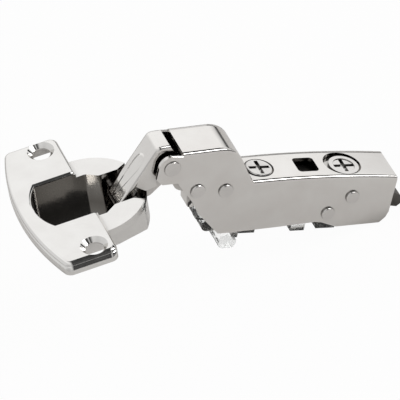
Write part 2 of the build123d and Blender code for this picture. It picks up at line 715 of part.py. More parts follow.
# Damper housing, a moulded beam with a cylinder, two front cheeks and a foot
with BuildPart() as damper_housing:
    with BuildSketch(ARM_SIDE) as beam:
        with BuildLine():
            Polyline(
                (FOOT_START, BEAM_TOP),
                (BEAM_STEP, BEAM_TOP),
                (BEAM_STEP, BEAM_END_TOP),
                (BEAM_END, BEAM_END_TOP),
                (BEAM_END, WEDGE_FLOOR),
                (WEDGE_START, WEDGE_FLOOR),
                (WEDGE_START, BEAM_FLOOR),
                (TAB_START + TAB_LENGTH, BEAM_FLOOR),
                (TAB_START + TAB_LENGTH, BELLY_FLOOR),
                (TAB_START, BELLY_FLOOR),
                (TAB_START, BEAM_FLOOR),
                (BELLY_END, BEAM_FLOOR),
                (BELLY_END, BELLY_FLOOR),
                (FOOT_START + FOOT_LENGTH, BELLY_FLOOR),
                (FOOT_START + FOOT_LENGTH, FOOT_FLOOR),
                (FOOT_START, FOOT_FLOOR),
                close=True,
            )
        make_face()
        fillet(beam.vertices().group_by(Axis.Y)[0], FOOT_ROUND)
        with Locations((FOOT_START + FOOT_LENGTH, FOOT_SLOT_HEIGHT)):
            Rectangle(2 * FOOT_SLOT_DEPTH, FOOT_SLOT, mode=Mode.SUBTRACT)
    extrude(amount=BEAM_WIDTH / 2, both=True)
    with BuildSketch(ARM_SIDE):
        with BuildLine():
            Polyline(
                (UPPER_BUMP[0], CHEEK_TOP),
                (CHEEK_END, CHEEK_TOP),
                (CHEEK_END, BEAM_FLOOR),
                (LOWER_BUMP[0], LOWER_BUMP[1] - LOWER_BUMP_RADIUS),
                (LOWER_BUMP[0], LOWER_BUMP[1] + LOWER_BUMP_RADIUS),
                (UPPER_BUMP[0], UPPER_BUMP[1] - UPPER_BUMP_RADIUS),
                close=True,
            )
        make_face()
        with Locations(UPPER_BUMP):
            Circle(UPPER_BUMP_RADIUS)
        with Locations(LOWER_BUMP):
            Circle(LOWER_BUMP_RADIUS)
    extrude(amount=HOUSING_WIDTH / 2, both=True)
    with BuildSketch(ARM_SIDE):
        with Locations((0, BEAM_TOP)):
            Rectangle(CYLINDER_START, -BEAM_TOP, align=(Align.MIN, Align.MIN))
    extrude(amount=HOUSING_WIDTH / 2 - HOUSING_CHEEK, both=True, mode=Mode.SUBTRACT)
    with BuildSketch(arm_section(CYLINDER_START, CYLINDER_HEIGHT)):
        Circle(CYLINDER_RADIUS)
        Rectangle(
            2 * CYLINDER_RADIUS, CYLINDER_HEIGHT - BEAM_TOP + PRESS_GAP, align=(Align.CENTER, Align.MAX)
        )
    extrude(amount=CYLINDER_LENGTH)
    with BuildSketch(ARM_SIDE):
        with Locations(HOOK_PIVOT):
            Circle(HOOK_EYE_RADIUS)
            Rectangle(HOOK_EYE_RADIUS, HOOK_PIVOT[1] - BEAM_FLOOR, align=(Align.CENTER, Align.MAX))
    extrude(amount=HOOK_EYE_HALF_WIDTH, both=True)
    with BuildSketch(ARM_SIDE):
        with Locations(HOOK_PIVOT):
            Circle(ARM_PIN_RADIUS + PRESS_GAP)
    extrude(amount=HOUSING_WIDTH, both=True, mode=Mode.SUBTRACT)
    with BuildSketch(arm_section(CYLINDER_START + CYLINDER_HEAD, CYLINDER_HEIGHT)):
        Circle(BORE_RADIUS)
    extrude(amount=CYLINDER_LENGTH, mode=Mode.SUBTRACT)
    with BuildSketch(arm_section(CYLINDER_START, CYLINDER_HEIGHT)):
        Circle(ROD_RADIUS + RUNNING_GAP)
    extrude(amount=CYLINDER_LENGTH, mode=Mode.SUBTRACT)

damper_housing.part.label = "damper_housing"
export_step(damper_housing.part, "parts/damper_housing.step")


# Cap that closes the rear of the damper cylinder
CAP_END = CYLINDER_START + CYLINDER_LENGTH

with BuildPart() as damper_cap:
    with BuildSketch(arm_section(CAP_END, CYLINDER_HEIGHT)):
        Circle(BORE_RADIUS - PRESS_GAP)
    extrude(amount=-CAP_LENGTH)
    with BuildSketch(arm_section(CAP_END + PRESS_GAP, CYLINDER_HEIGHT)):
        Circle(CYLINDER_RADIUS)
    extrude(amount=CAP_RIM)
    with BuildSketch(arm_section(CAP_END, CYLINDER_HEIGHT)):
        Circle(BORE_RADIUS - PRESS_GAP)
    extrude(amount=CAP_RIM)

damper_cap.part.label = "damper_cap"
export_step(damper_cap.part, "parts/damper_cap.step")


# Damper piston with the head that the inner link's lobe pushes
PISTON_END = PISTON_START + PISTON_LENGTH

with BuildPart() as damper_piston:
    with BuildSketch(arm_section(PLUNGER_FRONT, CYLINDER_HEIGHT)):
        Rectangle(PLUNGER_HEAD_WIDTH, PLUNGER_HEAD_HEIGHT)
    extrude(amount=PLUNGER_HEAD)
    fillet(damper_piston.edges().filter_by(Axis(origin=(0, 0, 0), direction=ARM_X)), PLUNGER_HEAD / 2)
    with BuildSketch(arm_section(PLUNGER_FRONT, CYLINDER_HEIGHT)):
        Circle(ROD_RADIUS)
    extrude(amount=PISTON_END - PLUNGER_FRONT)
    with BuildSketch(arm_section(PISTON_START, CYLINDER_HEIGHT)):
        Circle(BORE_RADIUS - RUNNING_GAP)
    extrude(amount=PISTON_LENGTH)
    with Locations(arm_section(PISTON_START + PISTON_LENGTH / 2, CYLINDER_HEIGHT)):
        Torus(BORE_RADIUS - RUNNING_GAP - SEAL_SECTION, SEAL_SECTION + PRESS_GAP, mode=Mode.SUBTRACT)

damper_piston.part.label = "damper_piston"
export_step(damper_piston.part, "parts/damper_piston.step")

with BuildPart() as piston_seal:
    with Locations(arm_section(PISTON_START + PISTON_LENGTH / 2, CYLINDER_HEIGHT)):
        Torus(BORE_RADIUS - RUNNING_GAP - SEAL_SECTION, SEAL_SECTION)

piston_seal.part.label = "piston_seal"
export_step(piston_seal.part, "parts/piston_seal.step")


# Return spring behind the piston
with BuildPart() as damper_spring:
    spring_seat = arm_section(PISTON_END + DAMPER_SPRING_WIRE / 2, CYLINDER_HEIGHT)
    spring_reach = DAMPER_SPRING_PITCH * DAMPER_SPRING_TURNS
    return_coil = coil_edge(spring_seat, DAMPER_SPRING_PITCH, spring_reach, DAMPER_SPRING_RADIUS, False)
    add(bent_wire([return_coil], DAMPER_SPRING_WIRE / 2))

damper_spring.part.label = "damper_spring"
export_step(damper_spring.part, "parts/damper_spring.step")


# Side adjusting screw, its neck held by the fork of the rail
SIDE_HEAD_UNDERSIDE = SIDE_SEAT_FLOOR + RUNNING_GAP
SIDE_HEAD_TOP = SIDE_HEAD_UNDERSIDE + SIDE_SCREW_HEAD_HEIGHT
SIDE_SHANK_END = RAIL_TOP + FACE_GAP
SIDE_END_DISC_TOP = RAIL_TOP - RAIL_SHEET - FACE_GAP

with BuildPart() as side_screw:
    with BuildSketch(arm_plan(SIDE_SCREW_PLACE, SIDE_HEAD_UNDERSIDE)):
        Circle(SIDE_SCREW_HEAD_RADIUS)
    extrude(amount=SIDE_SCREW_HEAD_HEIGHT)
    chamfer(side_screw.edges().group_by(Axis(NOSE_ORIGIN, ARM_Z))[-1], SIDE_SCREW_HEAD_HEIGHT / 4)
    with BuildSketch(arm_plan(SIDE_SCREW_PLACE, SIDE_HEAD_UNDERSIDE)):
        Circle(SIDE_SCREW_SHANK_RADIUS)
    extrude(amount=SIDE_SHANK_END - SIDE_HEAD_UNDERSIDE)
    with BuildSketch(arm_plan(SIDE_SCREW_PLACE, SIDE_SHANK_END)):
        Circle(SIDE_SCREW_NECK_RADIUS)
    extrude(amount=SIDE_END_DISC_TOP - SIDE_SHANK_END)
    with BuildSketch(arm_plan(SIDE_SCREW_PLACE, SIDE_END_DISC_TOP)):
        Circle(SIDE_SCREW_END_RADIUS)
    extrude(amount=-SIDE_SCREW_END_HEIGHT)
    with BuildSketch(arm_plan(SIDE_SCREW_PLACE, SIDE_HEAD_TOP)):
        Rectangle(CROSS_SLOT_LENGTH, CROSS_SLOT_WIDTH)
        Rectangle(CROSS_SLOT_WIDTH, CROSS_SLOT_LENGTH)
    extrude(amount=-CROSS_SLOT_DEPTH, mode=Mode.SUBTRACT)

side_screw.part.label = "side_screw"
export_step(side_screw.part, "parts/side_screw.step")


# Depth adjusting screw, with an eccentric pin in the cross slot of the rail
DEPTH_HEAD_UNDERSIDE = DEPTH_SEAT_FLOOR + RUNNING_GAP
DEPTH_HEAD_TOP = DEPTH_HEAD_UNDERSIDE + DEPTH_SCREW_HEAD_HEIGHT

with BuildPart() as depth_screw:
    with BuildSketch(arm_plan(DEPTH_SCREW_PLACE, DEPTH_HEAD_UNDERSIDE)):
        Circle(DEPTH_SCREW_HEAD_RADIUS)
    extrude(amount=DEPTH_SCREW_HEAD_HEIGHT)
    with BuildSketch(arm_plan(DEPTH_SCREW_PLACE, DEPTH_HEAD_TOP)):
        Circle(DEPTH_SCREW_DISH_RADIUS)
    extrude(amount=-DEPTH_SCREW_DISH, mode=Mode.SUBTRACT)
    with BuildSketch(arm_plan(DEPTH_SCREW_PLACE, DEPTH_HEAD_UNDERSIDE)):
        Circle(DEPTH_SCREW_SHANK_RADIUS)
    extrude(amount=SIDE_SHANK_END - DEPTH_HEAD_UNDERSIDE)
    with BuildSketch(arm_plan(DEPTH_SCREW_PLACE, SIDE_SHANK_END)):
        with Locations((0, CAM_PIN_OFFSET)):
            Circle(CAM_PIN_RADIUS)
    extrude(amount=-(FACE_GAP + RAIL_SHEET + CAM_PIN_REACH))
    with BuildSketch(arm_plan(DEPTH_SCREW_PLACE, DEPTH_HEAD_TOP - DEPTH_SCREW_DISH)):
        Rectangle(CROSS_SLOT_LENGTH, CROSS_SLOT_WIDTH)
        Rectangle(CROSS_SLOT_WIDTH, CROSS_SLOT_LENGTH)
    extrude(amount=-CROSS_SLOT_DEPTH, mode=Mode.SUBTRACT)

depth_screw.part.label = "depth_screw"
export_step(depth_screw.part, "parts/depth_screw.step")


# Rail, a channel that slides on the rear pins
with BuildPart() as adapter_rail:
    with BuildSketch(ARM_SIDE) as rail_side:
        with BuildLine():
            Polyline(
                (RAIL_START, RAIL_TOP),
                (RAIL_END, RAIL_TOP),
                (RAIL_END, RAIL_REAR_FLOOR),
                (RAIL_STEP, RAIL_REAR_FLOOR),
                (RAIL_STEP, RAIL_FRONT_FLOOR),
                (RAIL_START, RAIL_FRONT_FLOOR),
                close=True,
            )
        make_face()
    extrude(amount=RAIL_WIDTH / 2, both=True)
    rail_axis = Axis(origin=(0, 0, 0), direction=ARM_X)
    fillet(adapter_rail.edges().filter_by(rail_axis).group_by(Axis(NOSE_ORIGIN, ARM_Z))[-1], RAIL_SHEET / 2)
    with BuildSketch(ARM_SIDE):
        with Locations((RAIL_START, RAIL_TOP - RAIL_SHEET)):
            Rectangle(RAIL_END - RAIL_START, -RAIL_REAR_FLOOR, align=(Align.MIN, Align.MAX))
    extrude(amount=RAIL_WIDTH / 2 - RAIL_SHEET, both=True, mode=Mode.SUBTRACT)
    with BuildSketch(ARM_SIDE):
        with Locations(HOOK_PIVOT, LEVER_PIVOT):
            SlotCenterToCenter(2 * RAIL_TRAVEL, 2 * (ARM_PIN_RADIUS + RUNNING_GAP))
    extrude(amount=RAIL_WIDTH, both=True, mode=Mode.SUBTRACT)
    with BuildSketch(arm_plan(SIDE_SCREW_PLACE, RAIL_TOP)):
        fork_mouth = (2 * (RAIL_START - SIDE_SCREW_PLACE), 0)
        slot_between((RAIL_TRAVEL, 0), fork_mouth, SIDE_SCREW_NECK_RADIUS + RUNNING_GAP)
    extrude(amount=-RAIL_SHEET, mode=Mode.SUBTRACT)
    with BuildSketch(arm_plan(DEPTH_SCREW_PLACE, RAIL_TOP)):
        slot_between(
            (0, CAM_PIN_OFFSET * cos(radians(CAM_TURN))), (0, CAM_PIN_OFFSET), CAM_PIN_RADIUS + CAM_SLOT_GAP
        )
    extrude(amount=-RAIL_SHEET, mode=Mode.SUBTRACT)

adapter_rail.part.label = "adapter_rail"
export_step(adapter_rail.part, "parts/adapter_rail.step")


# Release lever with its hook and its finger plate
with BuildPart() as release_lever:
    with BuildSketch(ARM_SIDE) as lever_side:
        with BuildLine():
            Polyline(*LEVER_TOP, LEVER_TIP, *LEVER_UNDERSIDE, *LEVER_HOOK, close=True)
        make_face()
        with Locations(LEVER_PIVOT):
            Circle(LEVER_HUB_RADIUS)
    extrude(amount=LEVER_WIDTH / 2, both=True)
    with BuildSketch(ARM_SIDE.offset(-LEVER_RECESS)):
        with Locations(LEVER_PIVOT):
            Circle(LEVER_RECESS_RADIUS)
            Rectangle(LEVER_RECESS_RADIUS * 2, LEVER_RECESS_RADIUS * 2, align=(Align.MAX, Align.CENTER))
    extrude(amount=-LEVER_WIDTH, mode=Mode.SUBTRACT)
    with BuildSketch(ARM_SIDE):
        with Locations(LEVER_PIVOT):
            Circle(ARM_PIN_RADIUS + RUNNING_GAP)
    extrude(amount=LEVER_WIDTH, both=True, mode=Mode.SUBTRACT)

release_lever.part.label = "release_lever"
export_step(release_lever.part, "parts/release_lever.step")


# Spring of the release lever
UPPER_TOUCH = touch_angle(LEVER_PIVOT, LEVER_SPRING_UPPER_FOOT, LEVER_SPRING_RADIUS, -1)
LOWER_TOUCH = touch_angle(LEVER_PIVOT, LEVER_SPRING_LOWER_FOOT, LEVER_SPRING_RADIUS, 1)
LEVER_SPRING_TURNS = LEVER_SPRING_FULL_TURNS + (UPPER_TOUCH - LOWER_TOUCH) / radians(360)
LEVER_SPRING_START = LEVER_RECESS + RUNNING_GAP + LEVER_SPRING_WIRE / 2
LEVER_SPRING_REACH = LEVER_SPRING_PITCH * LEVER_SPRING_TURNS

with BuildPart() as lever_spring:
    lever_coil_plane = Plane(
        origin=arm_point(*LEVER_PIVOT, LEVER_SPRING_START),
        x_dir=ARM_X * cos(LOWER_TOUCH) + ARM_Z * sin(LOWER_TOUCH),
        z_dir=(0, 1, 0),
    )
    lever_coil = coil_edge(
        lever_coil_plane, LEVER_SPRING_PITCH, LEVER_SPRING_REACH, LEVER_SPRING_RADIUS, True
    )
    lower_foot = arm_point(*LEVER_SPRING_LOWER_FOOT, LEVER_SPRING_START)
    upper_foot = arm_point(*LEVER_SPRING_UPPER_FOOT, LEVER_SPRING_START + LEVER_SPRING_REACH)
    lower_leg = Edge.make_line(lower_foot, lever_coil @ 0)
    upper_leg = Edge.make_line(lever_coil @ 1, upper_foot)
    add(bent_wire([lower_leg, lever_coil, upper_leg], LEVER_SPRING_WIRE / 2))

lever_spring.part.label = "lever_spring"
export_step(lever_spring.part, "parts/lever_spring.step")
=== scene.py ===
import math

import bmesh
import bpy
from mathutils import Matrix, Vector


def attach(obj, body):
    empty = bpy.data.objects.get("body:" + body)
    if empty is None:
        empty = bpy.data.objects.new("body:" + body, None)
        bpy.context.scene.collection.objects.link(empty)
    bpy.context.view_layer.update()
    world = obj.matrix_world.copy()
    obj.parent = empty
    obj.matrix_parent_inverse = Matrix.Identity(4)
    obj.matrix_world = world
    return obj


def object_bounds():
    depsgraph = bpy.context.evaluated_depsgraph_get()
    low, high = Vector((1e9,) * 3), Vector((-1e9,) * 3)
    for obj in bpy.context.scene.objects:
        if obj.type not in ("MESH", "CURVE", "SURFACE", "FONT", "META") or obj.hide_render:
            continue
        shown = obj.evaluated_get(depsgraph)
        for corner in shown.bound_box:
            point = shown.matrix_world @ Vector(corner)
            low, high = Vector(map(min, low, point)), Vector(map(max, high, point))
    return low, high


# Camera, as fitted to the photograph
CAMERA_AIM = (0.03406, 0.0016, -0.01904)
CAMERA_DISTANCE = 1.3413
CAMERA_AZIMUTH = -14.48
CAMERA_ELEVATION = 40.23
CAMERA_ROLL = -9.34
CAMERA_LENS = 405.0

# Stage
FLOOR_SIZE = 6.0
FLOOR_COLOUR = (0.655, 0.641, 0.628, 1)
FLOOR_ROUGHNESS = 0.9
FLOOR_DROP = 0.0005
FLOOR_GLOW = 0.965
FLOOR_MIRRORED = 0.05

# Lamp: place, edge length in metres and watts
LAMP_PLACE = (0.68, -0.2, 0.66)
LAMP_SIZE = 0.4
LAMP_POWER = 2.8

# World: levels over the arch from the back (0) over the top (0.5) to the front (1), in parts from the left
# to the right with a narrow dark strip between them, and the places across (0 left, 1 right) where they blend
TENT_LEFT = [(0.0, 0.74), (0.26, 0.72), (0.5, 0.72), (0.7, 0.65), (0.85, 0.5), (1.0, 0.45)]
TENT_MIDDLE = [(0.0, 0.92), (0.26, 1.0), (0.5, 0.9), (0.7, 0.75), (1.0, 0.55)]
TENT_STRIP = [(0.0, 0.92), (0.25, 1.0), (0.28, 0.03), (0.66, 0.03), (0.74, 0.06), (1.0, 0.05)]
TENT_RIGHT = [
    (0.0, 0.08), (0.045, 0.1), (0.075, 0.66), (0.1, 0.76), (0.15, 1.0), (0.2, 1.0), (0.22, 0.03), (0.4, 0.03),
    (0.43, 1.0), (0.66, 1.0), (0.69, 0.03), (0.83, 0.03), (0.87, 0.2), (1.0, 0.2),
]
TENT_PARTS = [
    (0.2, 0.34, TENT_MIDDLE), (0.45, 0.575, TENT_STRIP), (0.625, 0.67, TENT_MIDDLE), (0.68, 0.72, TENT_RIGHT),
]

# Roll of the cup's skirt: its top and foot below the flange top, how fast it turns, and what lies outside
SKIRT_ROLL_TOP = 0.00095
SKIRT_ROLL_FOOT = 0.0038
SKIRT_ROLL = 320.0
SKIRT_CENTRE = 0.0608
SKIRT_FRONT = 0.0808
SKIRT_FLANK = 0.0275

# Bead pressed into the outer link's web: foot of the web in X and Z, its run, the bead's place and height, and how
# its middle drifts and its half width grows along it (slope, start), and the outer and inner edge of its rim
WEB_FOOT = (0.00785, -0.00568)
WEB_RUN = (0.6687, 0.7436)
BEAD_MIDDLE = 0.0083
BEAD_HALF = 0.0079
BEAD_HEIGHT = 0.0003
BEAD_DRIFT = (-0.085, 0.00095)
BEAD_SPREAD = (0.12, 0.0008)
BEAD_RIM = (1.3, 0.75)

# Rounding of the long edges of the arm and the outer link: where it starts from the middle, how fast it turns
ARM_ROLL_START = 0.0055
LINK_ROLL_START = 0.0036
EDGE_ROLL = 380.0

# Peened rivet heads on the arm: place along and off the arm from the nose pin, radius, height
NOSE_PIN = Vector((0.0251, 0.0, 0.00355))
ARM_TILT = math.radians(20.0)
ARM_FACE = 0.0072
RIVETS = [
    (0.0, 0.0, 0.0025, 0.00055),
    (0.0099, -0.0084, 0.00225, 0.0007),
    (0.0190, -0.00865, 0.00225, 0.0007),
    (0.05475, -0.01861, 0.0021, 0.0008),
    (0.0615, -0.01287, 0.0021, 0.0008),
]
RIVET_SIDES = 48
RIVET_PROFILE = [(1.0, 0.0), (1.0, 0.62), (0.96, 0.84), (0.86, 0.97)]

# Scales of the noise in the finishes: cloudy plating, its gloss, its orange peel, plastic tint, plastic grain
PLATING_SCALE = 140.0
GLOSS_SCALE = 320.0
PEEL_SCALE = 900.0
TINT_SCALE = 260.0
GRAIN_SCALE = 700.0
BUMP_DISTANCE = 0.0001
PEEL_STRENGTH = 0.02
GRAIN_STRENGTH = 0.03
PLASTIC_IOR = 1.3

# Which finish each CAD node gets
FINISHES = {
    "plated_sheet": ["inner_link"],
    "plated_arm": ["hinge_arm"],
    "plated_link": ["outer_link"],
    "plated_cup": ["hinge_cup"],
    "plated_pin": [
        "outer_link_cup_pin", "inner_link_cup_pin", "nose_pin", "inner_link_arm_pin",
        "spring_pin", "hook_pin", "lever_pin",
    ],
    "plated_screw": ["side_screw", "depth_screw"],
    "dark_steel": ["adapter_rail", "release_lever"],
    "spring_wire": ["closing_spring", "damper_spring", "lever_spring"],
    "milky_plastic": ["damper_housing"],
    "black_plastic": ["damper_cap", "damper_piston"],
    "seal_rubber": ["piston_seal"],
}


def shader_tree(name):
    """A new material, its node tree and its Principled shader."""
    material = bpy.data.materials.new(name)
    material.use_nodes = True
    tree = material.node_tree
    return material, tree, tree.nodes["Principled BSDF"]


def noise(tree, scale, detail, low, high):
    """Object-space noise, mapped to a range."""
    place = tree.nodes.new("ShaderNodeTexCoord")
    texture = tree.nodes.new("ShaderNodeTexNoise")
    texture.inputs["Scale"].default_value = scale
    texture.inputs["Detail"].default_value = detail
    tree.links.new(place.outputs["Object"], texture.inputs["Vector"])
    span = tree.nodes.new("ShaderNodeMapRange")
    span.inputs["From Min"].default_value = 0.3
    span.inputs["From Max"].default_value = 0.7
    span.inputs["To Min"].default_value = low
    span.inputs["To Max"].default_value = high
    tree.links.new(texture.outputs["Fac"], span.inputs["Value"])
    return span.outputs["Result"], texture.outputs["Fac"]


def tinted(tree, dark, light, share):
    """A colour between two, by a share."""
    blend = tree.nodes.new("ShaderNodeMix")
    blend.data_type = "RGBA"
    blend.inputs["A"].default_value = (*dark, 1)
    blend.inputs["B"].default_value = (*light, 1)
    tree.links.new(share, blend.inputs["Factor"])
    return blend.outputs["Result"]


def math_node(tree, operation, *values):
    """One step of arithmetic on sockets or numbers."""
    step = tree.nodes.new("ShaderNodeMath")
    step.operation = operation
    for socket, value in zip(step.inputs, values):
        if isinstance(value, (int, float)):
            socket.default_value = value
        else:
            tree.links.new(value, socket)
    return step.outputs[0]


def place_xyz(tree):
    """The place on the object, in metres."""
    place = tree.nodes.new("ShaderNodeTexCoord")
    split = tree.nodes.new("ShaderNodeSeparateXYZ")
    tree.links.new(place.outputs["Object"], split.inputs[0])
    return split.outputs["X"], split.outputs["Y"], split.outputs["Z"]


def bump_node(tree, height, strength, distance):
    """A bump over a height."""
    bump = tree.nodes.new("ShaderNodeBump")
    bump.inputs["Strength"].default_value = strength
    bump.inputs["Distance"].default_value = distance
    tree.links.new(height, bump.inputs["Height"])
    return bump


def bumped(tree, shader, height, strength, distance):
    """A bump that feeds the shader."""
    bump = bump_node(tree, height, strength, distance)
    tree.links.new(bump.outputs["Normal"], shader.inputs["Normal"])
    return bump


def rolled_skirt(tree):
    """Height, in metres, that rolls the outer skirt of the flange in towards its top."""
    x, y, z = place_xyz(tree)
    below = math_node(tree, "SUBTRACT", math_node(tree, "MINIMUM", z, -SKIRT_ROLL_TOP), -SKIRT_ROLL_FOOT)
    below = math_node(tree, "MAXIMUM", below, 0.0)
    full = (SKIRT_ROLL_FOOT - SKIRT_ROLL_TOP) ** 2
    rise = math_node(tree, "SUBTRACT", full, math_node(tree, "MULTIPLY", below, below))
    from_centre = math_node(tree, "SUBTRACT", x, SKIRT_CENTRE)
    square = math_node(tree, "ADD", math_node(tree, "POWER", from_centre, 2.0), math_node(tree, "POWER", y, 2.0))
    front = math_node(tree, "GREATER_THAN", square, SKIRT_FRONT ** 2)
    flank = math_node(tree, "GREATER_THAN", math_node(tree, "ABSOLUTE", y), SKIRT_FLANK)
    outside = math_node(tree, "MAXIMUM", front, flank)
    return math_node(tree, "MULTIPLY", math_node(tree, "MULTIPLY", rise, SKIRT_ROLL / 2), outside)


def rolled_edges(tree, start):
    """Height, in metres, that rounds the long edges of a channel off before its bends."""
    _, y, _ = place_xyz(tree)
    past = math_node(tree, "MAXIMUM", math_node(tree, "SUBTRACT", math_node(tree, "ABSOLUTE", y), start), 0.0)
    return math_node(tree, "MULTIPLY", math_node(tree, "MULTIPLY", past, past), -EDGE_ROLL / 2)


def rolled_arm(tree):
    return rolled_edges(tree, ARM_ROLL_START)


def rolled_link(tree):
    return math_node(tree, "ADD", rolled_edges(tree, LINK_ROLL_START), pressed_bead(tree))


def pressed_bead(tree):
    """Height, in metres, of the long drop-shaped bead pressed into the web of the outer link."""
    x, y, z = place_xyz(tree)
    along = math_node(tree, "MULTIPLY", math_node(tree, "SUBTRACT", x, WEB_FOOT[0]), WEB_RUN[0])
    along = math_node(tree, "MULTIPLY_ADD", math_node(tree, "SUBTRACT", z, WEB_FOOT[1]), WEB_RUN[1], along)
    middle = math_node(tree, "MULTIPLY_ADD", along, *BEAD_DRIFT)
    half = math_node(tree, "MULTIPLY_ADD", along, *BEAD_SPREAD)
    across = math_node(tree, "DIVIDE", math_node(tree, "SUBTRACT", y, middle), half)
    run = math_node(tree, "DIVIDE", math_node(tree, "SUBTRACT", along, BEAD_MIDDLE), BEAD_HALF)
    square = math_node(tree, "ADD", math_node(tree, "POWER", across, 2.0), math_node(tree, "POWER", run, 4.0))
    span = tree.nodes.new("ShaderNodeMapRange")
    span.interpolation_type = "SMOOTHSTEP"
    span.inputs["From Min"].default_value = BEAD_RIM[0]
    span.inputs["From Max"].default_value = BEAD_RIM[1]
    span.inputs["To Max"].default_value = BEAD_HEIGHT
    tree.links.new(square, span.inputs["Value"])
    return span.outputs["Result"]


def painted_recess_shade(tree, recess_shade_reach, open_from):
    """How open a place is, 0 deep in a recess and 1 on a free face: the mask for painted shade in recesses."""
    shelter = tree.nodes.new("ShaderNodeAmbientOcclusion")
    shelter.samples = 12
    shelter.inputs["Distance"].default_value = recess_shade_reach
    span = tree.nodes.new("ShaderNodeMapRange")
    span.inputs["From Min"].default_value = 0.25
    span.inputs["From Max"].default_value = open_from
    tree.links.new(shelter.outputs["AO"], span.inputs["Value"])
    return span.outputs["Result"]


def metal(name, dark, light, smooth, rough, recess_shade=0.35, recess_shade_reach=0.009, rolled=None):
    """Plated metal with cloudy plating, painted shade darkening its recesses, and a fine orange peel."""
    material, tree, shader = shader_tree(name)
    cloud, _ = noise(tree, PLATING_SCALE, 3.0, 0.0, 1.0)
    plating = tinted(tree, dark, light, cloud)
    # Painted shade: where ambient occlusion finds a recess, the base colour goes towards a dimmed, warmer copy of
    # the dark tint
    shade = tree.nodes.new("ShaderNodeMix")
    shade.data_type = "RGBA"
    shade.inputs["A"].default_value = (dark[0] * recess_shade, dark[1] * recess_shade * 0.98, dark[2] * recess_shade * 0.95, 1)
    tree.links.new(plating, shade.inputs["B"])
    tree.links.new(painted_recess_shade(tree, recess_shade_reach, 0.85), shade.inputs["Factor"])
    tree.links.new(shade.outputs["Result"], shader.inputs["Base Color"])
    sheen, _ = noise(tree, GLOSS_SCALE, 4.0, smooth, rough)
    tree.links.new(sheen, shader.inputs["Roughness"])
    _, peel = noise(tree, PEEL_SCALE, 2.0, 0.0, 1.0)
    normal = bumped(tree, shader, peel, PEEL_STRENGTH, BUMP_DISTANCE)
    if rolled:
        tree.links.new(bump_node(tree, rolled(tree), 1.0, 1.0).outputs["Normal"], normal.inputs["Normal"])
    shader.inputs["Metallic"].default_value = 1.0
    return material


def plastic(name, dark, light, rough, clear=0.0):
    """Moulded plastic with a faint grain."""
    material, tree, shader = shader_tree(name)
    cloud, _ = noise(tree, TINT_SCALE, 2.0, 0.0, 1.0)
    tree.links.new(tinted(tree, dark, light, cloud), shader.inputs["Base Color"])
    gloss, grain = noise(tree, GRAIN_SCALE, 3.0, rough * 0.8, rough * 1.2)
    tree.links.new(gloss, shader.inputs["Roughness"])
    bumped(tree, shader, grain, GRAIN_STRENGTH, BUMP_DISTANCE)
    shader.inputs["Transmission Weight"].default_value = clear
    shader.inputs["IOR"].default_value = PLASTIC_IOR
    return material


def finish_nodes(nodes):
    # After the roughness range come the level and reach of the painted shade in recesses
    made = {
        "plated_sheet": metal("plated_sheet", (0.81, 0.785, 0.76), (0.86, 0.845, 0.82), 0.08, 0.12),
        "plated_link": metal(
            "plated_link", (0.81, 0.785, 0.76), (0.86, 0.845, 0.82), 0.08, 0.12, 0.35, 0.009, rolled_link
        ),
        "plated_arm": metal(
            "plated_arm", (0.81, 0.785, 0.76), (0.86, 0.845, 0.82), 0.08, 0.12, 0.35, 0.009, rolled_arm
        ),
        "plated_cup": metal(
            "plated_cup", (0.82, 0.805, 0.785), (0.87, 0.86, 0.84), 0.08, 0.12, 0.4, 0.03, rolled_skirt
        ),
        "plated_pin": metal("plated_pin", (0.76, 0.74, 0.72), (0.82, 0.80, 0.78), 0.16, 0.24, 0.04),
        "plated_screw": metal("plated_screw", (0.78, 0.76, 0.74), (0.85, 0.83, 0.81), 0.14, 0.22, 0.1),
        "dark_steel": metal("dark_steel", (0.16, 0.15, 0.14), (0.24, 0.23, 0.22), 0.30, 0.42),
        "spring_wire": metal("spring_wire", (0.26, 0.25, 0.24), (0.34, 0.33, 0.32), 0.28, 0.38),
        "milky_plastic": plastic("milky_plastic", (0.93, 0.94, 0.93), (0.99, 0.99, 0.98), 0.1, 0.97),
        "black_plastic": plastic("black_plastic", (0.02, 0.02, 0.02), (0.05, 0.05, 0.05), 0.45),
        "seal_rubber": plastic("seal_rubber", (0.015, 0.015, 0.015), (0.03, 0.03, 0.03), 0.7),
    }
    for finish, names in FINISHES.items():
        for name in names:
            nodes[name].data.materials.clear()
            nodes[name].data.materials.append(made[finish])
    rivet_heads(made["plated_pin"])


def rivet_heads(material):
    """Peened heads over the ends of the arm's pins, both sides, riding on the arm."""
    along = Vector((math.cos(ARM_TILT), 0.0, -math.sin(ARM_TILT)))
    off = Vector((math.sin(ARM_TILT), 0.0, math.cos(ARM_TILT)))
    shape = bmesh.new()
    for x, z, radius, height in RIVETS:
        for side in (-1, 1):
            centre = NOSE_PIN + along * x + off * z + Vector((0, side * ARM_FACE, 0))
            turned = Matrix.Translation(centre) @ Matrix.Rotation(math.radians(90) * side, 4, "X").inverted()
            rings = []
            for share, level in RIVET_PROFILE:
                rings.append([
                    shape.verts.new(turned @ Vector((
                        share * radius * math.cos(math.tau * turn / RIVET_SIDES),
                        share * radius * math.sin(math.tau * turn / RIVET_SIDES),
                        level * height,
                    )))
                    for turn in range(RIVET_SIDES)
                ])
            for lower, upper in zip(rings, rings[1:]):
                for turn in range(RIVET_SIDES):
                    after = (turn + 1) % RIVET_SIDES
                    shape.faces.new((lower[turn], lower[after], upper[after], upper[turn]))
            shape.faces.new(rings[-1])
            shape.faces.new(reversed(rings[0]))
    mesh = bpy.data.meshes.new("rivet_heads")
    bmesh.ops.recalc_face_normals(shape, faces=shape.faces)
    shape.to_mesh(mesh)
    shape.free()
    mesh.materials.append(material)
    heads = bpy.data.objects.new("rivet_heads", mesh)
    bpy.context.scene.collection.objects.link(heads)
    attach(heads, "arm")


